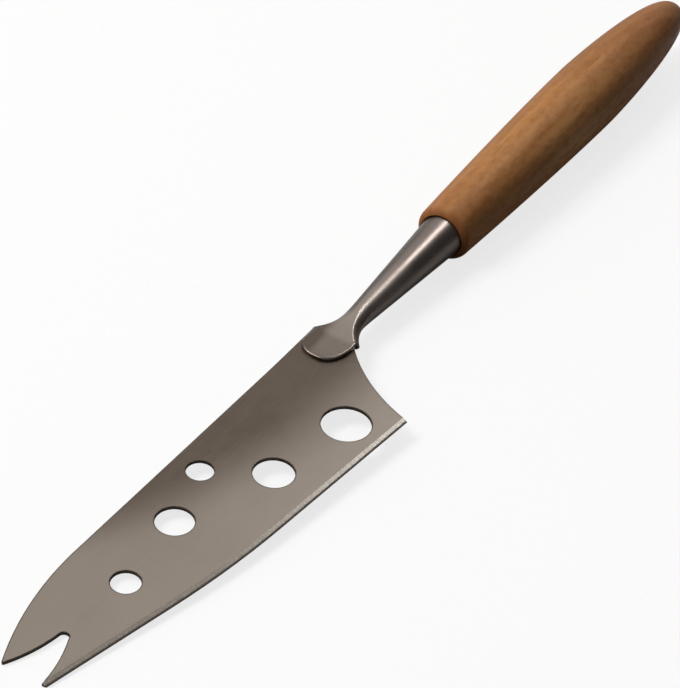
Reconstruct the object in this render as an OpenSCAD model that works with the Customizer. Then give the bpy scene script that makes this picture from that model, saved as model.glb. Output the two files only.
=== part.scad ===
// Cheese knife: a perforated blade with a forked tip is lap-welded to a forged
// steel neck, and a steel tang holds the neck in a turned wooden handle.
// X runs from the pommel to the prongs, Y from the spine to the cutting edge
// and Z is square to the blade. Lengths are in millimetres.

/* [Handle] */
// Length of the wooden handle
handle_l = 118.6; // [110:0.2:135]
// Largest diameter of the handle
handle_d = 17.8; // [16.6:0.1:20.6]
// Diameter just behind the rounded front rim
handle_front_d = 13.4; // [13:0.1:15]
// Radius of the rounded front rim
handle_rim_r = 2; // [0.8:0.1:2.2]
// Depth of the seat that takes the end of the neck
handle_seat_depth = 1; // [0.6:0.1:2]

/* [Neck] */
// Length of the round taper in front of the wood
taper_l = 34; // [30:0.5:44]
// Diameter of the neck where it leaves the wood
neck_root_d = 10.3; // [9.6:0.1:10.8]
// Diameter of the neck where the flattening starts
neck_waist_d = 5.4; // [4.6:0.1:6.4]
// Length over which the bar widens into the tongue
flare_l = 10.4; // [8:0.1:13]
// Length of the slanted flats from the taper's end to the crease on the tongue
flat_l = 11.3; // [9:0.1:14]
// Width of the flattened end, ground flush with the blade's root
tongue_w = 12.2; // [10.5:0.1:13.5]
// Length of the tongue that laps over the blade
tongue_l = 8.7; // [7.5:0.1:11]
// Thickness of the tongue at the blade's root
tongue_t = 1.2; // [1:0.1:1.6]
// Thickness of the tongue at its front rim
tongue_rim_t = 1.05; // [0.8:0.05:1.2]

/* [Tang] */
// Diameter of the tang
tang_d = 5; // [4:0.1:5.4]
// Length of the tang in the handle
tang_l = 62; // [45:1:75]
// Length of the tang pressed into the neck
tang_press_l = 12; // [8:0.5:14]
// Width of each glue groove round the tang
groove_w = 2; // [1:0.1:3]
// Depth of each glue groove
groove_depth = 0.4; // [0.2:0.05:0.6]
// Number of glue grooves
groove_count = 4; // [2:1:5]
// Thickness of the glue round the tang
glue_t = 0.5; // [0.3:0.05:0.7]

/* [Blade] */
// Thickness of the stamped sheet
blade_t = 0.8; // [0.7:0.05:1.1]
// Offset of the blade's root from the handle's axis towards the cutting edge
blade_set = 0.2; // [0:0.05:0.4]
// Length of the blade from its root to the prong tips
blade_l = 115.1; // [105:0.1:125]
// Height of the spine over the handle's axis where it dips behind the tongue
spine_dip_rise = 5.8; // [5.6:0.05:6.2]
// Distance along the blade from its root to that dip
spine_dip_set = 15.6; // [12:0.2:24]
// Height of the spine over the handle's axis at the tip curve
spine_rise = 6.6; // [6.3:0.05:7.5]
// Length of the curved spine that runs down to the upper prong
tip_curve_l = 30; // [26:0.5:34]
// Radius of the curve from the spine to the upper prong
tip_curve_r = 73.5; // [68:0.5:90]
// Distance along the blade from its root to the heel corner
heel_set = 13.4; // [11:0.1:16]
// Distance along the blade from its root to the start of the hollow heel
heel_start = 1.8; // [0.8:0.1:2.4]
// Drop of the heel corner below the handle's axis
heel_drop = 26.2; // [23:0.1:29]
// Radius of the hollow heel
heel_r = 44; // [38:1:60]
// Distance along the blade from its root to the bend of the cutting edge
bend_set = 70.4; // [60:0.2:80]
// Drop of the bend below the handle's axis
bend_drop = 20.7; // [19.8:0.1:21.4]
// Radius that rounds the bend
bend_r = 225; // [150:5:260]
// Drop of the cutting edge at the prong tips
toe_drop = 10.2; // [9.4:0.1:11]
// Width of the ground bevel along the cutting edge
bevel_w = 1.3; // [0.8:0.1:2]
// Thickness left at the cutting edge
edge_t = 0.2; // [0.1:0.05:0.4]
// Diameter of the largest hole
hole_d = 10.7; // [8:0.1:12]

/* [Fork] */
// Depth of the notch between the prongs
fork_depth = 12.8; // [11:0.1:15]
// Diameter of the rounded end of the notch
fork_root_d = 2.2; // [1.8:0.1:2.8]
// Drop of the notch's end below the handle's axis
fork_drop = 5.3; // [4.8:0.1:6]
// Radius of the curved flanks of both prongs
fork_flank_r = 33; // [26:1:60]
// Width of the upper prong's tip
upper_tip_w = 0.4; // [0.3:0.05:0.8]
// Width of the lower prong's tip
lower_tip_w = 1.1; // [0.8:0.05:1.6]

/* [Welds] */
// Diameter of each weld nugget
nugget_d = 2.6; // [2:0.1:3]

/* [Hidden] */
$fn = 96;
// Segments of the long arcs of the blade
arc_fn = 720;
// Overrun of every cut
cut = 0.5;

// Share of the handle's length at which it is thickest
belly_share = 0.588;
// Fullness of the handle's front, and fullness and roundness of its rear
front_fullness_share = 1.5;
rear_fullness_share = 0.64;
rear_round_share = 1.28;
// Steps along each stretch of the handle's outline
profile_steps = 16;
// Clearance between the neck's end and its seat in the wood
seat_gap = 0.15;
// Thickness of the glue between the neck's end and the wood
glue_film = 0.2;
// Depth to which the neck's end is let into the wood
neck_seat = handle_seat_depth - glue_film;
// Room for glue past the tang's end
glue_well = 1.5;
bore_r = tang_d / 2 + glue_t;
bore_l = tang_l + glue_well;

// Steps along each flank of the fork
flank_steps = 10;
// Steps along the widening bar, and how late it widens
flare_steps = 12;
widen_share = 3.2;
// Extra radius of the bar before its sides are ground flush with the blade's root
side_stock = 0.4;
waist_r = neck_waist_d / 2;
flare_x = taper_l;
root_x = flare_x + flare_l;
rim_x = root_x + tongue_l;
paddle_t = tongue_t + blade_t;
blade_top = paddle_t / 2 - tongue_t;
root_top = blade_set - tongue_w / 2;
root_bottom = blade_set + tongue_w / 2;

// Chamfer at the tang's ends
tang_chamfer = 0.5;
// Share of the tang's length that carries the grooves
groove_span_share = 0.8;

tip_x = root_x + blade_l;
heel = [root_x + heel_set, heel_drop];
heel_top = [root_x + heel_start, root_bottom];
toe = [tip_x, toe_drop];
bend = [root_x + bend_set, bend_drop];
heel_centre = arc_centre(heel, heel_top, heel_r);
spine_dip = [root_x + spine_dip_set, -spine_dip_rise];
tip_centre = [tip_x - tip_curve_l, tip_curve_r - spine_rise];
tip_y = tip_centre[1] - sqrt(tip_curve_r * tip_curve_r - tip_curve_l * tip_curve_l);
fork_root = [tip_x - fork_depth + fork_root_d / 2, fork_drop];

// Directions of the two straight stretches of the cutting edge, and the ends of
// the arc that joins them
rear_dir = direction(heel, bend);
front_dir = direction(bend, toe);
bend_turn = rear_dir - front_dir;
bend_tangent = bend_r * tan(bend_turn / 2);
bend_start = bend - bend_tangent * [cos(rear_dir), sin(rear_dir)];
bend_end = bend + bend_tangent * [cos(front_dir), sin(front_dir)];
bend_centre = bend_start + bend_r * [sin(rear_dir), -cos(rear_dir)];

// Holes: place along the blade and across it, and diameter, as shares
hole_along_shares = [0.189, 0.373, 0.445, 0.574, 0.74];
hole_across_shares = [0.713, 0.63, 0.217, 0.388, 0.544];
hole_d_shares = [1, 0.82, 0.545, 0.755, 0.572];

// Weld nuggets: place along and across the tongue, and depth in each sheet
nugget_along_shares = [0.3, 0.3, 0.66];
nugget_across_shares = [-0.27, 0.27, 0];
nugget_depth_share = 0.5;
nugget_top = tongue_rim_t * nugget_depth_share;
nugget_bottom = blade_t * nugget_depth_share;

// Half-way point of the whole knife, and its lowest point
reach_back = -handle_l;
reach_up = min(-handle_d / 2, -spine_rise);
origin = [(reach_back + tip_x) / 2, (reach_up + heel_drop) / 2, -handle_d / 2];

function direction(a, b) = atan2(b[1] - a[1], b[0] - a[0]);

// Centre of the arc of radius r from a to b, which turns right, or left if r < 0
function arc_centre(a, b, r) =
    let (d = b - a, l = norm(d), h = sign(r) * sqrt(r * r - l * l / 4))
    (a + b) / 2 + [d[1], -d[0]] / l * h;

// Points of that arc
function arc_points(a, b, r) =
    let (c = arc_centre(a, b, r), u = a - c, v = b - c, turn = atan2(cross(u, v), u * v))
    [for (i = [0:flank_steps]) let (s = turn * i / flank_steps)
        c + [u[0] * cos(s) - u[1] * sin(s), u[0] * sin(s) + u[1] * cos(s)]];

// Place across the blade of the spine at x, and of the cutting edge at x
function spine_y(x) =
    x < tip_centre[0]
    ? -lookup(x, [[root_x, -root_top], [spine_dip[0], spine_dip_rise], [tip_centre[0], spine_rise]])
    : tip_centre[1] - sqrt(pow(tip_curve_r, 2) - pow(x - tip_centre[0], 2));
function edge_y(x) = lookup(x, [heel, bend, toe]);

function hole_centre(i) =
    let (x = root_x + blade_l * hole_along_shares[i])
    [x, spine_y(x) + (edge_y(x) - spine_y(x)) * hole_across_shares[i]];

// Radius of the handle at x behind its front face
belly_x = handle_l * belly_share;
front_drop = (handle_d - handle_front_d) / 2;
function front_r(x) =
    handle_d / 2 - front_drop * pow(1 - x / belly_x, front_fullness_share);

// Radius of the widening bar at share t of its length
function flare_r(t) = waist_r + (tongue_w / 2 - waist_r) * pow(t, widen_share);

// Moves the knife so that its origin is under the middle of its box
module place() {
    translate(-origin) children();
}

// Turns a shape that stands on Z so that it lies along the handle's axis
module along() {
    rotate([0, 90, 0]) children();
}

// The blade is a straight-sided sheet, with the rounded bend laid over its edge
module blade_outline() {
    bend_chord = norm(bend_end - bend_start);
    difference() {
        union() {
            polygon([
                [root_x, root_top],
                spine_dip,
                [tip_centre[0], -spine_rise],
                [tip_x, -spine_rise],
                toe,
                bend_end,
                bend_start,
                heel,
                [root_x, heel_drop]
            ]);
            intersection() {
                translate(bend_centre) circle(r = bend_r, $fn = arc_fn);
                translate(bend_start) rotate(direction(bend_start, bend_end))
                    translate([-cut, -cut]) square([bend_chord + 2 * cut, bend_chord]);
            }
        }
        translate(heel_centre) circle(r = heel_r, $fn = arc_fn);
        tip_waste();
        fork_notch();
        for (i = [0:len(hole_d_shares) - 1])
            translate(hole_centre(i)) circle(d = hole_d * hole_d_shares[i]);
    }
}

// Sheet outside the curve from the spine to the upper prong
module tip_waste() {
    difference() {
        translate([tip_centre[0], -spine_rise - cut])
            square([tip_curve_l + cut, spine_rise + tip_y + 2 * cut]);
        translate(tip_centre) circle(r = tip_curve_r, $fn = arc_fn);
    }
}

module fork_notch() {
    mouth_top = tip_y + upper_tip_w;
    mouth_bottom = toe_drop - lower_tip_w;
    translate(fork_root) circle(d = fork_root_d);
    polygon(concat(
        arc_points(fork_root - [0, fork_root_d / 2], [tip_x, mouth_top], fork_flank_r),
        [[tip_x + cut, mouth_top], [tip_x + cut, mouth_bottom]],
        arc_points([tip_x, mouth_bottom], fork_root + [0, fork_root_d / 2], -fork_flank_r)
    ));
}

// Section that is ground off one side, with the cutting edge at its origin
module bevel_section() {
    slope = (blade_t - edge_t) / 2 / bevel_w;
    polygon([[-bevel_w - cut, slope * cut], [cut, -slope * (bevel_w + cut)], [cut, slope * cut]]);
}

// Cutter for a straight stretch of the edge from a to b
module straight_bevel(a, b) {
    translate(a) rotate(direction(a, b) + 90) rotate([90, 0, 0])
        linear_extrude(norm(b - a)) bevel_section();
}

// Cutters for one side of the whole cutting edge
module bevel_cutter() {
    straight_bevel(heel - cut * [cos(rear_dir), sin(rear_dir)], bend_start);
    translate(bend_centre) rotate(front_dir + 90)
        rotate_extrude(angle = bend_turn, $fn = arc_fn) translate([bend_r, 0]) bevel_section();
    straight_bevel(bend_end, toe + cut * [cos(front_dir), sin(front_dir)]);
}

module nuggets() {
    for (i = [0:len(nugget_along_shares) - 1])
        translate([
            root_x + tongue_l * nugget_along_shares[i],
            blade_set + tongue_w * nugget_across_shares[i],
            blade_top - nugget_bottom
        ])
            cylinder(d = nugget_d, h = nugget_top + nugget_bottom);
}

module blade() {
    color("silver") place() difference() {
        translate([0, 0, blade_top - blade_t]) linear_extrude(blade_t) blade_outline();
        translate([0, 0, blade_top]) bevel_cutter();
        translate([0, 0, blade_top - blade_t]) mirror([0, 0, 1]) bevel_cutter();
        nuggets();
    }
}

// Plan of the neck, which only the tongue's sides and its elliptical front fill
module tongue_outline() {
    polygon(concat(
        [[-handle_seat_depth, root_bottom], [-handle_seat_depth, root_top]],
        [for (a = [-90:7.5:90]) [root_x + tongue_l * cos(a), blade_set + tongue_w / 2 * sin(a)]]
    ));
}

// Round bar that tapers from the wood and widens again towards the blade
module neck_bar() {
    spread_r = tongue_w / 2 + side_stock;
    along() rotate_extrude() polygon(concat(
        [[0, -neck_seat], [neck_root_d / 2, -neck_seat]],
        [for (i = [0:flare_steps]) [flare_r(i / flare_steps), flare_x + flare_l * i / flare_steps]],
        [[spread_r, root_x + side_stock], [spread_r, rim_x], [0, rim_x]]
    ));
}

// Stock above the slanted flat and the top of the tongue
module flat_cutter() {
    slope = (waist_r - paddle_t / 2) / flat_l;
    crease_x = flare_x + flat_l;
    back_x = flare_x - flat_l / 2;
    translate([0, tongue_w, 0]) rotate([90, 0, 0]) linear_extrude(2 * tongue_w)
        polygon([
            [back_x, waist_r + slope * flat_l / 2],
            [crease_x, paddle_t / 2],
            [rim_x, paddle_t / 2 - (tongue_t - tongue_rim_t)],
            [rim_x + cut, 0],
            [rim_x + cut, tongue_w],
            [back_x, tongue_w]
        ]);
}

module neck() {
    color("darkgray") place() difference() {
        intersection() {
            rotate(atan2(blade_set, root_x)) neck_bar();
            translate([0, 0, -tongue_w]) linear_extrude(2 * tongue_w) tongue_outline();
        }
        flat_cutter();
        mirror([0, 0, 1]) flat_cutter();
        translate([root_x, -tongue_w, blade_top - paddle_t])
            cube([tongue_l + cut, 2 * tongue_w, paddle_t]);
        translate([-neck_seat - cut, 0, 0]) along() cylinder(d = tang_d, h = tang_press_l + cut);
        nuggets();
    }
}

// Tang, from its end in the handle at x = 0
module tang_bar() {
    tang_full_l = tang_l + tang_press_l - neck_seat;
    pitch = tang_l * groove_span_share / groove_count;
    along() rotate_extrude() difference() {
        polygon([
            [0, 0],
            [tang_d / 2 - tang_chamfer, 0],
            [tang_d / 2, tang_chamfer],
            [tang_d / 2, tang_full_l - tang_chamfer],
            [tang_d / 2 - tang_chamfer, tang_full_l],
            [0, tang_full_l]
        ]);
        for (i = [1:groove_count])
            translate([tang_d / 2 - groove_depth, pitch * i - groove_w / 2])
                square([groove_depth + cut, groove_w]);
    }
}

module tang() {
    color("gray") place() translate([-tang_l, 0, 0]) tang_bar();
}

// Outline of the turned handle: radius first, then distance behind its front
module handle_profile() {
    rim_centre = front_r(handle_rim_r) - handle_rim_r;
    rear_l = handle_l - belly_x;
    polygon(concat(
        [[0, 0]],
        [for (a = [0:15:75]) [rim_centre + handle_rim_r * sin(a), handle_rim_r * (1 - cos(a))]],
        [for (i = [0:profile_steps])
            let (x = handle_rim_r + (belly_x - handle_rim_r) * i / profile_steps)
            [front_r(x), x]],
        [for (i = [1:profile_steps])
            let (a = 90 * i / profile_steps)
            [
                handle_d / 2 * pow(cos(a), rear_fullness_share),
                belly_x + rear_l * pow(sin(a), rear_round_share)
            ]]
    ));
}

// Blind bore for the tang with its drilled point
module tang_bore() {
    mirror([1, 0, 0]) along() {
        cylinder(r = bore_r, h = bore_l);
        translate([0, 0, bore_l]) cylinder(r1 = bore_r, r2 = 0, h = bore_r / 2);
    }
}

module handle() {
    color("peru") place() difference() {
        mirror([1, 0, 0]) along() rotate_extrude() handle_profile();
        tang_bore();
        translate([-handle_seat_depth, 0, 0]) along()
            cylinder(r = neck_root_d / 2 + seat_gap, h = handle_seat_depth + cut);
    }
}

module handle_glue() {
    color("wheat") place() difference() {
        union() {
            intersection() {
                tang_bore();
                translate([-handle_l, -bore_r, -bore_r])
                    cube([handle_l - handle_seat_depth, 2 * bore_r, 2 * bore_r]);
            }
            translate([-handle_seat_depth, 0, 0]) along() cylinder(d = neck_root_d, h = glue_film);
        }
        translate([-tang_l, 0, 0]) tang_bar();
    }
}

module spot_welds() {
    color("dimgray") place() nuggets();
}

blade();
neck();
tang();
handle();
handle_glue();
spot_welds();
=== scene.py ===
import math

import bmesh
import bpy
from mathutils import Euler, Matrix, Vector


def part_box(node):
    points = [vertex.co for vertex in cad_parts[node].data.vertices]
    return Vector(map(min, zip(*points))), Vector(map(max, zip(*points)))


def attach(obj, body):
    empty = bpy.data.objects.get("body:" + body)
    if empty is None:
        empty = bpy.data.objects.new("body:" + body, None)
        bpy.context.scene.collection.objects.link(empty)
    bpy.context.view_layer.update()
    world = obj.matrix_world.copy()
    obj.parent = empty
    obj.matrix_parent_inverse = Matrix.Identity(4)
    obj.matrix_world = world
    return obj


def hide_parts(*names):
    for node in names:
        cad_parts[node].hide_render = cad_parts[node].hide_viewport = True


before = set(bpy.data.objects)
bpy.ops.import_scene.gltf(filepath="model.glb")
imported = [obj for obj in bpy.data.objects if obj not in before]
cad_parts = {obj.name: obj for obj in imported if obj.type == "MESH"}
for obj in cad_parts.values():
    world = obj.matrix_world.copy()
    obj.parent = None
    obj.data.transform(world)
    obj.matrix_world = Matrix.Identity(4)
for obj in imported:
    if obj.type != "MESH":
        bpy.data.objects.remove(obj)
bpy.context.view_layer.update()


# Camera: a long lens that looks down on the knife from beyond the cutting edge,
# 54 cm away, with the forked tip to the lower left of the picture.
def put(name, data):
    """An object in the scene, made of a mesh, a lens or a lamp."""
    made = bpy.data.objects.new(name, data)
    bpy.context.scene.collection.objects.link(made)
    return made


lens = bpy.data.cameras.new("camera")
lens.sensor_width = 36
lens.lens = 130.8
lens.shift_x, lens.shift_y = -0.5 / 688, 0.5 / 688
camera = put("camera", lens)
camera.location = (0.38234, 0.19304, 0.35632)
camera.rotation_euler = [math.radians(a) for a in (49.559, -3.743, 122.400)]
bpy.context.scene.camera = camera
bpy.context.scene.view_settings.view_transform = "Standard"


# Studio: a pale table, which the handle's belly and the prong tips touch, in a room
# that is bright behind the spine, with a softbox over the spine side and a strip
# that shows only in gloss, where it draws the bright line along the neck.
class Value:
    """One socket of a recipe. Sums and products on it add Math nodes."""

    def __init__(self, socket):
        self.socket = socket

    def joined(self, operation, *terms):
        """A Math node on the terms alone."""
        tree = self.socket.node.id_data
        node = tree.nodes.new("ShaderNodeMath")
        node.operation = operation
        for place, term in zip(node.inputs, terms):
            plug(tree, place, term)
        return Value(node.outputs[0])

    def math(self, operation, *others):
        """A Math node on this value, followed by the others."""
        return self.joined(operation, self, *others)

    def __add__(self, other):
        return self.math("ADD", other)

    def __sub__(self, other):
        return self.math("SUBTRACT", other)

    def __rsub__(self, other):
        return self.joined("SUBTRACT", other, self)

    def __mul__(self, other):
        return self.math("MULTIPLY", other)

    def __truediv__(self, other):
        return self.math("DIVIDE", other)

    def __pow__(self, other):
        return self.math("POWER", other)

    def __lt__(self, other):
        return self.math("LESS_THAN", other)

    __radd__, __rmul__ = __add__, __mul__

    def between(self, low, high):
        """0 below low, 1 above high, and smooth in between."""
        tree = self.socket.node.id_data
        node = tree.nodes.new("ShaderNodeMapRange")
        node.interpolation_type = "SMOOTHSTEP"
        node.inputs["From Min"].default_value = low
        node.inputs["From Max"].default_value = high
        tree.links.new(self.socket, node.inputs["Value"])
        return Value(node.outputs["Result"])


def plug(tree, place, term):
    """Links a socket to an input, or sets the input's own value."""
    if isinstance(term, Value):
        tree.links.new(term.socket, place)
    else:
        place.default_value = term


class Recipe:
    """The nodes of a material, of the room's light or of a turned shape."""

    def __init__(self, tree):
        self.tree = tree
        tree.nodes.clear()

    def add(self, kind, settings=None, sockets=None, result=0):
        """Adds one node: its settings first, then the values or links of its sockets."""
        node = self.tree.nodes.new(kind)
        for name, value in (settings or {}).items():
            setattr(node, name, value)
        for name, value in (sockets or {}).items():
            place = next(s for s in node.inputs if name in (s.identifier, s.name))
            plug(self.tree, place, value)
        return next((Value(s) for i, s in enumerate(node.outputs)
                     if result in (i, s.identifier, s.name)), None)

    def blend(self, share, first, second):
        """A colour between two colours."""
        return self.add("ShaderNodeMix", {"data_type": "RGBA"}, {
            "Factor_Float": share, "A_Color": first, "B_Color": second}, "Result_Color")

    def part(self, vector, axis):
        """One coordinate of a vector."""
        return self.add("ShaderNodeSeparateXYZ", None, {"Vector": vector}, axis)

    def ray(self, kind):
        """1 for rays of one kind."""
        return self.add("ShaderNodeLightPath", result=f"Is {kind} Ray")


class Finish(Recipe):
    """The nodes of one material."""

    def __init__(self, name):
        self.material = bpy.data.materials.new(name)
        self.material.use_nodes = True
        super().__init__(self.material.node_tree)

    def place(self, scale=(1, 1, 1), turn=(0, 0, 0), at=(0, 0, 0)):
        """Object coordinates, stretched, turned and centred."""
        place = self.add("ShaderNodeTexCoord", result="Object")
        return self.add("ShaderNodeMapping", {"vector_type": "TEXTURE"}, {
            "Vector": place, "Scale": scale, "Rotation": turn, "Location": at})

    def noise(self, vector, scale, detail=3.0, roughness=0.5, distortion=0.0):
        return self.add("ShaderNodeTexNoise", None, {
            "Vector": vector, "Scale": scale, "Detail": detail, "Roughness": roughness,
            "Distortion": distortion})

    def bump(self, height, distance, strength):
        return self.add("ShaderNodeBump", None, {
            "Height": height, "Distance": distance, "Strength": strength})

    def surface(self, **values):
        """Ends the finish in a Principled shader."""
        shader = self.add("ShaderNodeBsdfPrincipled", None, {
            name.replace("_", " "): value for name, value in values.items()})
        self.add("ShaderNodeOutputMaterial", None, {"Surface": shader})
        return self.material


def grey(level):
    """A grey that sends back this share of the light."""
    return (level, level, level, 1)


mm = 0.001
handle_low, handle_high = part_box("handle")
blade_low, blade_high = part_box("blade")
wood_front = handle_high.x
belly_back = 69.7 * mm
belly_r = (handle_high.z - handle_low.z) / 2
axis_z = handle_low.z + belly_r

# The table's plane touches the belly's round and both prong tips
half_table = 6.0
rise, run = blade_low.z - axis_z, blade_high.x - (wood_front - belly_back)
table_tilt = math.atan2(rise, run) + math.asin(belly_r / math.hypot(rise, run))
tilted = Euler((0, -table_tilt, 0)).to_matrix()
corners = [Vector((x, y, 0)) for x, y in ((-1, -1), (1, -1), (1, 1), (-1, 1))]
table = bpy.data.meshes.new("table")
table.from_pydata(
    [tilted @ (c * half_table) + Vector((blade_high.x, 0, blade_low.z)) for c in corners],
    [], [(0, 1, 2, 3)])
table_top = put("table", table)

# The camera sees the paint white, metal mirrors it pale, and it throws little light
# back on the knife
paint = Finish("table_paint")
to_camera = paint.ray("Camera")
mirrored = paint.ray("Glossy").math("MAXIMUM", paint.ray("Transmission"))
paper = paint.noise(paint.place(), 900.0, 2.0)
table.materials.append(paint.surface(
    Base_Color=paint.blend(
        to_camera, paint.blend(mirrored, (0.14, 0.13, 0.12, 1), grey(0.80)),
        paint.blend(paper, grey(0.16), grey(0.18))),
    Emission_Color=paint.blend(to_camera, grey(0), grey(0.775)),
    Emission_Strength=1.0, Roughness=0.9))

room = bpy.data.worlds.new("room")
bpy.context.scene.world = room
room.use_nodes = True
air = Recipe(room.node_tree)


def toward(side):
    """How far a direction of the room points to one side."""
    return air.add("ShaderNodeVectorMath", {"operation": "DOT_PRODUCT"}, {
        "Vector": air.add("ShaderNodeTexCoord", result="Generated"), "Vector_001": side}, "Value")


# A bright wall behind the spine, a dim one opposite, and past the tip a pale
# backdrop that is seen and mirrored but gives no light
bright_side, backdrop_side = (-0.35, -0.94, 0.0), (0.64, 0.77, 0.0)
walls = air.blend(toward(bright_side).between(0.0, 0.5), grey(0.08), (1.0, 0.98, 0.95, 1))
seen = (air.ray("Camera") + air.ray("Glossy") + air.ray("Transmission")).math("MINIMUM", 1.0)
walls = air.blend(toward(backdrop_side).between(0.4, 0.9) * seen, walls, grey(0.80))
light = air.add("ShaderNodeBackground", None, {"Color": walls, "Strength": 1.0})
air.add("ShaderNodeOutputWorld", None, {"Surface": light})


def softbox(name, place, size, power):
    """A lamp with its long side along the knife, turned to the table's middle."""
    lamp = bpy.data.lights.new(name, "AREA")
    lamp.shape = "RECTANGLE"
    lamp.size, lamp.size_y = size
    lamp.energy = power
    back = Vector(place).normalized()
    side = (Vector((1, 0, 0)) - back * back.x).normalized()
    holder = put(name, lamp)
    holder.matrix_world = Matrix.Translation(place) @ Matrix(
        (side, back.cross(side), back)).transposed().to_4x4()
    return holder


softbox("wide_softbox", (0.30, -0.70, 1.0), (0.6, 0.45), 11.8)
softbox("strip_softbox", (-0.56, -0.02, 0.83), (0.40, 0.16), 3.3).visible_diffuse = False

# Blade: a sheet of stainless steel, 0.8 mm thick, stamped with its five holes and
# the notch between the two prongs, ground along the cutting edge, brushed to a
# satin finish and tumbled, which rolls its rims over. A darker band along them is painted shade.
deburr, rolled_w, prong_rounding = 0.16 * mm, 0.15 * mm, 0.35 * mm
same_spot = 0.001 * mm
near_tips, wall_drop = 0.2 * mm, 0.1 * mm
one_plane, rim_turn = math.radians(0.3), math.radians(35)
sheet_up, ground_up, beside_sheet_up = 0.995, 0.95, 0.9
sheet, bevel, wall, rim_shade_band = range(4)

blade_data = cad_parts["blade"].data.copy()
blade_data.name = "stamped_blade"
blade_data.materials.clear()
blade = put("stamped_blade", blade_data)
shape = bmesh.new()
shape.from_mesh(blade_data)
bmesh.ops.remove_doubles(shape, verts=shape.verts, dist=same_spot)
bmesh.ops.dissolve_limit(
    shape, angle_limit=one_plane, verts=shape.verts, edges=shape.edges)
prong_corners = [
    e for e in shape.edges
    if min(v.co.x for v in e.verts) > blade_high.x - near_tips
    and abs(e.verts[0].co.z - e.verts[1].co.z) > wall_drop]
bmesh.ops.bevel(shape, geom=prong_corners, offset=prong_rounding, segments=5, profile=0.5,
                affect="EDGES", clamp_overlap=True)
rims = [e for e in shape.edges
        if len(e.link_faces) == 2 and e.calc_face_angle() > rim_turn
        and max(abs(f.normal.z) for f in e.link_faces) > beside_sheet_up]
bmesh.ops.bevel(shape, geom=rims, offset=deburr, segments=2, profile=0.5,
                affect="EDGES", clamp_overlap=True)
ring = bmesh.ops.inset_region(
    shape, faces=[f for f in shape.faces if abs(f.normal.z) > sheet_up],
    thickness=rolled_w, use_even_offset=True)["faces"]
for face in shape.faces:
    up = abs(face.normal.z)
    face.material_index = sheet if up > sheet_up else bevel if up > ground_up else wall
# The ring beside each wall takes the rim band, painted darker as shade
for face in ring:
    if any(beside.material_index == wall for e in face.edges for beside in e.link_faces):
        face.material_index = rim_shade_band
bmesh.ops.triangulate(shape, faces=[f for f in shape.faces if len(f.verts) > 4])
shape.to_mesh(blade_data)
shape.free()


def colour(red, green, blue):
    """A shader's colour for one seen on screen, given from 0 to 255."""
    return tuple(((c / 255 + 0.055) / 1.055) ** 2.4 for c in (red, green, blue)) + (1,)


# Painted reflection: the satin is painted darker toward the spine, the more so toward the tongue
axis_y = (handle_low.y + handle_high.y) / 2
satin = Finish("satin_steel")
brush = satin.noise(satin.place(scale=(12, 1, 1)), 2600.0, 4.0, 0.6)
cloud = satin.noise(satin.place(), 22.0, 3.0, 0.5, 0.4)
smudge = satin.noise(satin.place(scale=(1.6, 1, 1)), 55.0, 4.0, 0.6)
dark_end = satin.place(at=(wood_front + 66 * mm, axis_y, 0))
past_dark = satin.part(dark_end, "X").math("MAXIMUM", 0.0)
bend_of_tone = 5.7
painted_reflection_share = satin.part(dark_end, "Y") + past_dark * past_dark * bend_of_tone \
    + (cloud - 0.5) * (6 * mm)
tone = satin.blend(painted_reflection_share.between(2 * mm, 20 * mm), colour(77, 67, 59), colour(126, 118, 110))
tone = satin.blend(smudge.between(0.35, 0.7) * 0.25, tone, colour(106, 97, 88))
tone = satin.blend(brush.between(0.35, 0.75) * 0.05, tone, colour(142, 134, 126))
satin_steel = satin.surface(
    Base_Color=tone, Metallic=1.0, Roughness=0.33 + brush * 0.06 + smudge * 0.06,
    Normal=satin.bump(brush, 0.01 * mm, 0.15))

# Scratched across, painted brighter toward the heel as a highlight, with a dark line where the
# two bevels meet
ground = Finish("ground_edge")
scratch = ground.noise(ground.place(scale=(1, 14, 1)), 5200.0, 3.0, 0.6)
heel_spot = ground.place(at=(blade_low.x, 0, (blade_low.z + blade_high.z) / 2))
heel_painted_highlight = 1 - ground.part(heel_spot, "X").between(10 * mm, 80 * mm)
from_edge = ground.part(heel_spot, "Z").math("ABSOLUTE") + (scratch - 0.5) * (0.06 * mm)
ground_tone = ground.blend(heel_painted_highlight, colour(100, 94, 87), colour(144, 138, 131))
ground_tone = ground.blend(scratch.between(0.4, 0.65) * (0.15 + heel_painted_highlight * 0.55),
                           ground_tone, colour(192, 186, 178))
ground_tone = ground.blend(
    from_edge.between(0.16 * mm, 0.24 * mm), colour(58, 52, 46), ground_tone)
ground_steel = ground.surface(
    Base_Color=ground_tone, Metallic=1.0, Roughness=0.46 + scratch * 0.14,
    Normal=ground.bump(scratch, 0.01 * mm, 0.4))

# Walls: dark partly as rough sheared steel and partly as painted shade in the holes and along the
# edges
stamped = Finish("sheared_wall_and_shade")
shear = stamped.noise(stamped.place(scale=(1, 1, 12)), 4200.0, 3.0, 0.6)
sheared_steel_and_shade = stamped.surface(
    Base_Color=stamped.blend(shear.between(0.3, 0.7), colour(56, 50, 44), colour(76, 68, 60)),
    Metallic=1.0, Roughness=0.5 + shear * 0.15,
    Normal=stamped.bump(shear, 0.02 * mm, 0.5))

# Rim band: painted shade along each rim, mottled at random
rolled = Finish("rim_shade_band")
stain = rolled.noise(rolled.place(), 900.0, 3.0, 0.6)
rim_shade_steel = rolled.surface(
    Base_Color=rolled.blend(stain.between(0.35, 0.65), colour(66, 59, 53), colour(92, 84, 76)),
    Metallic=1.0, Roughness=0.42 + stain * 0.1)

for finish in (satin_steel, ground_steel, sheared_steel_and_shade, rim_shade_steel):
    blade_data.materials.append(finish)
for face in blade_data.polygons:
    face.use_smooth = face.material_index == wall
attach(blade, "root")
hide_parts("blade")
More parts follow.
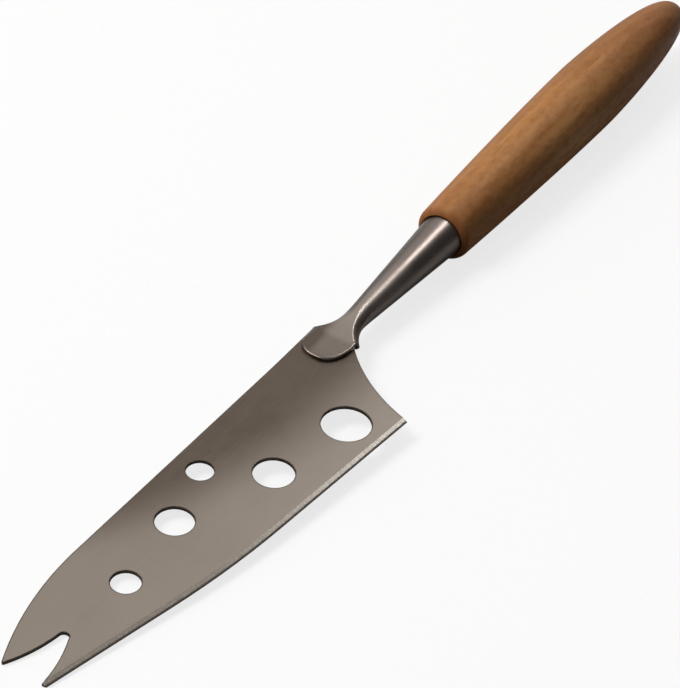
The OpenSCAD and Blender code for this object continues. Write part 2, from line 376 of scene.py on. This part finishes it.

# Neck: a forged steel bar that tapers from the wood, is flattened and widened, and
# ends in a thin tongue with a rounded rim. The tongue laps over the blade, whose
# root butts against the neck's shoulder. Its top is polished; its flanks and tongue carry painted
# shade.
neck_low, neck_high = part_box("neck")
root_r, waist_r = 5.15 * mm, 2.7 * mm
taper_end, root_x, rim_x = wood_front + 34.07 * mm, blade_low.x + 0.05 * mm, neck_high.x
tongue_half = (neck_high.y - neck_low.y) / 2
tongue_y = (neck_high.y + neck_low.y) / 2
crease_x = taper_end + 11.3 * mm
crease_rounding = 0.12 * mm
crease_top, rim_top = 1.0 * mm, 0.62 * mm
blade_top = blade_high.z - axis_z
widening, flattening_rate = 3.2, 1.7
flare_fillet, flare_roundness = 1.75 * mm, 1.4
lap_l, lap_right, lap_left = 8.25 * mm, 5.0 * mm, 6.0 * mm
right_fullness, left_fullness = 2.28, 2.8
rim_fillet, side_fillet, rim_drop = 0.9 * mm, 0.5 * mm, 0.3 * mm
left_from = 0.75
corner_r = 0.7 * mm
flat_steps, arc_steps = 10, 12
taper_steps, flare_steps, corner_steps, tongue_slices = 24, 28, 5, 60
seam, hard_turn = 0.002 * mm, math.radians(40)
taper_slope = (root_r - waist_r) / (taper_end - neck_low.x)
flat_slope = (waist_r - crease_top) / (crease_x - taper_end)


def mix(a, b, share):
    share = min(max(share, 0), 1)
    return a + (b - a) * share


def ease(share):
    share = min(max(share, 0), 1)
    return share * share * (3 - 2 * share)


def neck_half_width(x):
    """Half the neck's width: even taper, then a flare that ends in a rounded corner."""
    if x < taper_end:
        return mix(root_r, waist_r, (x - neck_low.x) / (taper_end - neck_low.x))
    past_corner = max(x - root_x + corner_r, 0)
    flare = ((x - taper_end) / (root_x - taper_end)) ** widening
    return mix(waist_r, tongue_half, flare) - corner_r \
        + math.sqrt(max(corner_r ** 2 - past_corner ** 2, 0))


def neck_top(x):
    """Height of the middle line: round taper, slanted flat, soft crease, then the tongue."""
    if x < taper_end:
        return neck_half_width(x)
    slant = waist_r - flat_slope * (x - taper_end)
    flat = mix(crease_top, rim_top, (x - crease_x) / (rim_x - crease_x))
    return (slant + flat + math.hypot(slant - flat, crease_rounding)) / 2


def flattening(x):
    """0 where the neck is round, 1 where it is flat with narrow rounded edges."""
    return ease((x - taper_end) / (root_x - taper_end) * flattening_rate)


def neck_fillet(x):
    """Width of the neck's rounded long edges: all of its half width where it is round."""
    round_r = min(neck_half_width(x), waist_r) if x >= taper_end else neck_half_width(x)
    return mix(round_r, flare_fillet, flattening(x))


def half_profile(reach, fillet, depth, roundness=2.0):
    """Steps from the middle to the rim, each with its drop below the flat top."""
    flat = [((reach - fillet) * i / flat_steps, 0) for i in range(flat_steps)]
    turns = [math.pi / 2 * i / arc_steps for i in range(arc_steps + 1)]
    return flat + [(reach - fillet + fillet * math.sin(t) ** (2 / roundness),
                    depth - depth * max(math.cos(t), 0) ** (2 / roundness)) for t in turns]


def neck_ring(x):
    """One closed ring across the neck, from the middle of its top all the way round."""
    top = neck_top(x)
    upper = [(out, top - drop) for out, drop in half_profile(
        neck_half_width(x), neck_fillet(x), top, mix(2.0, flare_roundness, flattening(x)))]
    half = upper + [(out, -z) for out, z in reversed(upper)]
    middle = axis_y + mix(0, tongue_y - axis_y, (x - wood_front) / (root_x - wood_front))
    return [(x, middle + out, axis_z + z) for out, z in half] \
        + [(x, middle - out, axis_z + z) for out, z in reversed(half)]


def tongue_ray(angle):
    """One slice of the tongue, from the middle of its top over the rim and back below."""
    share = Vector((max(math.cos(angle), 0), math.sin(angle)))
    fullness = right_fullness if share.y > 0 else left_fullness
    share /= (share.x ** fullness + abs(share.y) ** fullness) ** (1 / fullness)
    way = Vector((lap_l * share.x, (lap_right if share.y > 0 else lap_left) * share.y))
    left = ease((-math.sin(angle) - left_from) / (1 - left_from))
    spots = [(way.normalized() * out, drop) for out, drop in half_profile(
        way.length, mix(mix(rim_fillet, side_fillet, share.y), flare_fillet, left),
        mix(rim_drop, neck_top(root_x), left), mix(2.0, flare_roundness, left))]
    upper = [(root_x + p.x, tongue_y + p.y, axis_z + neck_top(root_x + p.x) - drop)
             for p, drop in spots]
    return upper + [(x, y, axis_z + blade_top) for x, y, z in reversed(upper)]


def loft(mesh, rings):
    """Faces between each closed ring and the next."""
    made = [[mesh.verts.new(spot) for spot in ring] for ring in rings]
    for near, far in zip(made, made[1:]):
        for i in range(len(near)):
            j = (i + 1) % len(near)
            mesh.faces.new((near[i], near[j], far[j], far[i]))
    return made


# Two closed shells: the bar as far as the blade's root, and the tongue from there on
stations = [neck_low.x + (taper_end - neck_low.x) * i / taper_steps
            for i in range(taper_steps + 1)]
stations += [mix(taper_end, root_x - corner_r, i / flare_steps)
             for i in range(1, flare_steps + 1)]
stations += [root_x - corner_r * (1 - math.sin(math.pi / 2 * i / corner_steps))
             for i in range(1, corner_steps + 1)]
forging = bmesh.new()
bar = loft(forging, [neck_ring(x) for x in stations])
forging.faces.new(bar[0])
forging.faces.new(bar[-1])
lap = loft(forging, [tongue_ray(math.pi * (i / tongue_slices - 0.5))
                     for i in range(tongue_slices + 1)])
forging.faces.new(lap[0] + lap[-1][::-1])
bmesh.ops.remove_doubles(forging, verts=forging.verts, dist=seam)
bmesh.ops.recalc_face_normals(forging, faces=forging.faces)
neck_data = bpy.data.meshes.new("forged_neck")
forging.to_mesh(neck_data)
forging.free()
neck_data.shade_smooth()
neck_data.set_sharp_from_angle(angle=hard_turn)
neck = put("forged_neck", neck_data)

polished = Finish("polished_neck_steel")
drawn = polished.noise(polished.place(scale=(10, 1, 1)), 2400.0, 3.0, 0.55)
dull = polished.noise(polished.place(), 45.0, 3.0, 0.5)
darker = colour(84, 75, 69)

# Distances from the taper's end, and as shares of the height of the neck's top
from_taper = polished.place(at=(taper_end, axis_y, axis_z))
beyond = polished.part(from_taper, "X")
on_taper = beyond.math("MINIMUM", 0.0)
on_flat = beyond.math("MAXIMUM", 0.0).math("MINIMUM", crease_x - taper_end)
top_height = waist_r - on_taper * taper_slope - on_flat * flat_slope
upward = polished.part(from_taper, "Z") / top_height
spineward = 0 - polished.part(from_taper, "Y") / top_height
# Painted shade: the flanks below the top and on the spine side are painted darker, and the flat
# past the taper a little
painted_shade_low_flank = 1 - upward.between(0.35, 0.85)
painted_shade_spine_flank = spineward.between(0.12, 0.55) * (1 - beyond.between(0.0, 6 * mm))
neck_tone_and_shade = polished.blend(dull.between(0.35, 0.7), colour(118, 108, 103), colour(134, 126, 119))
neck_tone_and_shade = polished.blend(
    (painted_shade_low_flank * 0.9).math("MAXIMUM", painted_shade_spine_flank), neck_tone_and_shade, colour(80, 72, 66))
neck_tone_and_shade = polished.blend(beyond.between(2 * mm, 9 * mm) * 0.18, neck_tone_and_shade, darker)

# Painted shade: the tongue is painted darker past its crease and along its spine side
from_crease = polished.place(at=(crease_x, tongue_y, 0))
past_crease = polished.part(from_crease, "X")
tongue_painted_shade = past_crease.between(-1.2 * mm, 1.2 * mm) * 0.5 \
    + (1 - polished.part(from_crease, "Y").between(-5 * mm, -1 * mm)) \
    * past_crease.between(-8 * mm, -2 * mm) * 1.3
hammered = beyond.between(-19 * mm, -13 * mm) * (1 - beyond.between(-3 * mm, 3 * mm))
neck_data.materials.append(polished.surface(
    Base_Color=polished.blend(tongue_painted_shade, neck_tone_and_shade, darker),
    Metallic=1.0, Roughness=0.28 + drawn * 0.05 + dull * 0.08 + hammered * 0.06,
    Normal=polished.bump(drawn, 0.01 * mm, 0.3)))
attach(neck, "root")
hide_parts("neck")


# Spot welds: three nuggets of fused steel between the tongue and the blade. They
# are hidden, and keep the shape that the frame gives them.
def finish_inside(node, material):
    """Gives a hidden piece of the frame its one material."""
    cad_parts[node].data.materials.clear()
    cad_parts[node].data.materials.append(material)


fused = Finish("fused_steel")
scale_marks = fused.noise(fused.place(), 1400.0, 4.0, 0.7)
finish_inside("spot_welds", fused.surface(
    Base_Color=fused.blend(scale_marks, colour(70, 66, 63), colour(112, 100, 88)),
    Metallic=1.0, Roughness=0.5 + scale_marks * 0.2,
    Normal=fused.bump(scale_marks, 0.05 * mm, 0.5)))

# Tang: a round steel bar with four turned glue grooves, pressed into the neck's
# blind bore and glued into the handle. It is hidden.
turned = Finish("turned_tang_steel")
lathe = turned.add("ShaderNodeTexWave", {"wave_type": "BANDS", "bands_direction": "X"}, {
    "Vector": turned.place(), "Scale": 1400.0, "Distortion": 1.5, "Detail": 2.0}, "Fac")
finish_inside("tang", turned.surface(
    Base_Color=turned.blend(lathe, colour(116, 112, 107), colour(150, 146, 140)),
    Metallic=1.0, Roughness=0.38 + lathe * 0.12,
    Normal=turned.bump(lathe, 0.02 * mm, 0.4)))

# Glue: cured epoxy round the tang, past its end and behind the neck. It fills the
# handle's bore and is hidden.
epoxy = Finish("cured_epoxy")
bubbles = epoxy.noise(epoxy.place(), 1800.0, 3.0, 0.6)
finish_inside("handle_glue", epoxy.surface(
    Base_Color=epoxy.blend(bubbles, colour(186, 158, 108), colour(206, 182, 136)),
    Roughness=0.35 + bubbles * 0.2, Normal=epoxy.bump(bubbles, 0.05 * mm, 0.4)))

# Handle: one piece of hardwood turned to a slim belly, with an eased front rim, a
# shallow seat for the neck and a round end. It is sanded, stained a warm brown
# and oiled to a soft sheen.
handle_sizes = {
    "Length": handle_high.x - handle_low.x,
    "Belly": belly_back,
    "Belly Radius": belly_r,
    "Front Radius": 6.7 * mm,
    "Rim Radius": 2.0 * mm,
    "Seat Radius": 5.3 * mm,
    "Seat Depth": 1.0 * mm,
}
front_swell, rear_fullness, rear_reach = 1.5, 0.64, 1.28
spots_along, spots_round = 201, 145
turning = bpy.data.node_groups.new("turned_handle", "GeometryNodeTree")
turning.interface.new_socket(
    "Geometry", in_out="OUTPUT", socket_type="NodeSocketGeometry")
size_id = {
    name: turning.interface.new_socket(
        name, in_out="INPUT", socket_type="NodeSocketFloat").identifier
    for name in handle_sizes}
wood_id = turning.interface.new_socket(
    "Wood", in_out="INPUT", socket_type="NodeSocketMaterial").identifier

outline = Recipe(turning)
size = {name: outline.add("NodeGroupInput", result=name) for name in (*handle_sizes, "Wood")}
grid = outline.add("GeometryNodeMeshGrid", None, {
    "Size X": 1.0, "Size Y": 1.0,
    "Vertices X": spots_along, "Vertices Y": spots_round}, "Mesh")
here = outline.add("GeometryNodeInputPosition")
along_share = outline.part(here, "X") + 0.5
turn_angle = outline.part(here, "Y") * math.tau


def stretch(start, end):
    """0 up to start, 1 from end on, and even in between."""
    return outline.add("ShaderNodeMapRange", None, {
        "Value": along_share, "From Min": start, "From Max": end}, "Result")


def front_radius(back):
    """Radius of the front half at a distance behind the front face."""
    left = (1 - back / size["Belly"]) ** front_swell
    return size["Belly Radius"] - (size["Belly Radius"] - size["Front Radius"]) * left


# Shares of the outline at which the seat's floor, the seat's wall, the rim and
# the front half end; the rear half takes the rest
floor_end, wall_end, rim_end, belly_end = 0.04, 0.06, 0.16, 0.55
rim_centre = front_radius(size["Rim Radius"]) - size["Rim Radius"]
seat_angle = ((size["Seat Radius"] - rim_centre) / size["Rim Radius"]).math("ARCSINE")
rim_angle = seat_angle + (math.pi / 2 - seat_angle) * stretch(wall_end, rim_end)
rim_radius = (rim_centre + size["Rim Radius"] * rim_angle.math("SINE")) * stretch(0, floor_end)
on_wall = stretch(floor_end, wall_end)
rim_back = size["Rim Radius"] * (1 - rim_angle.math("COSINE")) * on_wall \
    + size["Seat Depth"] * (1 - on_wall)
front_back = size["Rim Radius"] \
    + (size["Belly"] - size["Rim Radius"]) * stretch(rim_end, belly_end)
rear_angle = stretch(belly_end, 1.0) * (math.pi / 2)
rear_radius = size["Belly Radius"] \
    * rear_angle.math("COSINE").math("MAXIMUM", 0.0) ** rear_fullness
rear_back = size["Belly"] \
    + (size["Length"] - size["Belly"]) * rear_angle.math("SINE") ** rear_reach
in_rim, in_front = along_share < rim_end, along_share < belly_end
radius = in_rim * rim_radius + (1 - in_rim) * (
    in_front * front_radius(front_back) + (1 - in_front) * rear_radius)
back = in_rim * rim_back + (1 - in_rim) * (in_front * front_back + (1 - in_front) * rear_back)
spot = outline.add("ShaderNodeCombineXYZ", None, {
    "X": wood_front - back,
    "Y": axis_y + radius * turn_angle.math("COSINE"),
    "Z": axis_z + radius * turn_angle.math("SINE")})
turned_form = outline.add(
    "GeometryNodeSetPosition", None, {"Geometry": grid, "Position": spot})
closed = outline.add(
    "GeometryNodeMergeByDistance", None, {"Geometry": turned_form, "Distance": seam})
smooth = outline.add("GeometryNodeSetShadeSmooth", None, {"Geometry": closed})
real = outline.add("GeometryNodeRealizeInstances", None, {"Geometry": smooth})
stained = outline.add(
    "GeometryNodeSetMaterial", None, {"Geometry": real, "Material": size["Wood"]})
outline.add("NodeGroupOutput", None, {"Geometry": stained})

oiled = Finish("oiled_hardwood")
on_axis = (0, axis_y, axis_z)


def figure(drawn_out, *noise):
    """Noise drawn out along the handle."""
    return oiled.noise(oiled.place(scale=(drawn_out, 1, 1), at=on_axis), *noise)


fibre = figure(26, 2300.0, 4.0, 0.6)
streak = figure(9, 420.0, 4.0, 0.55, 0.3)
mottle = figure(1.6, 170.0, 4.0, 0.6)
pebble = figure(1.8, 700.0, 2.0, 0.5)
heart = figure(5, 60.0, 3.0, 0.5, 0.8)
pith = (0, axis_y - 14 * mm, axis_z - 9 * mm)
rings = oiled.add("ShaderNodeTexWave", {"wave_type": "RINGS", "rings_direction": "X"}, {
    "Vector": oiled.place(scale=(14, 1, 1), turn=(0, 0.02, 0.03), at=pith),
    "Scale": 120.0, "Distortion": 5.0, "Detail": 3.0, "Detail Scale": 1.4,
    "Detail Roughness": 0.55}, "Fac")
pores = fibre.between(0.56, 0.72) * streak.between(0.35, 0.6)

# Painted shade: the wood is painted darker toward its end and on the spine side. It is also
# darker toward its front and on end grain
wood_spot = oiled.place(at=on_axis)
wood_x = oiled.part(wood_spot, "X")
painted_shade_spine_side = 0 - oiled.part(wood_spot, "Y")
rear = 1 - wood_x.between(handle_low.x + 5 * mm, handle_low.x + 75 * mm)
front = wood_x.between(wood_front - 25 * mm, wood_front)
end_grain = wood_x.between(wood_front - 2.0 * mm, wood_front - 0.3 * mm)
wood_tone = oiled.blend(heart.between(0.3, 0.7), colour(176, 122, 70), colour(194, 140, 88))
for share, tint in (
        (rings * 0.3, colour(131, 76, 34)),
        (streak.between(0.42, 0.68) * 0.3, colour(135, 79, 36)),
        (mottle.between(0.35, 0.7) * 0.25, colour(184, 135, 85)),
        (pebble.between(0.4, 0.7) * 0.28, colour(126, 72, 34)),
        (pores * 0.45, colour(86, 49, 22)),
        # painted shade toward the end and on the spine side
        (rear * 0.6, colour(122, 70, 31)),
        (painted_shade_spine_side.between(0.0, 8 * mm) * 0.7, colour(116, 72, 28)),
        (front * 0.35, colour(135, 83, 45)),
        (end_grain * 0.45, colour(122, 68, 41))):
    wood_tone = oiled.blend(share, wood_tone, tint)
relief = fibre * 0.4 + mottle * 0.3 + pebble * 0.6 - pores * 0.6
wood_finish = oiled.surface(
    Base_Color=wood_tone, Roughness=0.40 + mottle * 0.12 + pores * 0.15,
    Specular_IOR_Level=0.08, Normal=oiled.bump(relief, 0.05 * mm, 0.5))

carrier = put("handle_carrier", bpy.data.meshes.new("handle_carrier"))
lathe_step = carrier.modifiers.new("turning", "NODES")
lathe_step.node_group = turning
for name, value in handle_sizes.items():
    lathe_step[size_id[name]] = value
lathe_step[wood_id] = wood_finish
bpy.context.view_layer.update()
handle_data = bpy.data.meshes.new_from_object(
    carrier.evaluated_get(bpy.context.evaluated_depsgraph_get()))
handle_data.name = "turned_handle"
bpy.data.objects.remove(carrier)
skin = bmesh.new()
skin.from_mesh(handle_data)
bmesh.ops.recalc_face_normals(skin, faces=skin.faces)
skin.to_mesh(handle_data)
skin.free()
handle = put("turned_handle", handle_data)
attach(handle, "root")
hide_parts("handle")
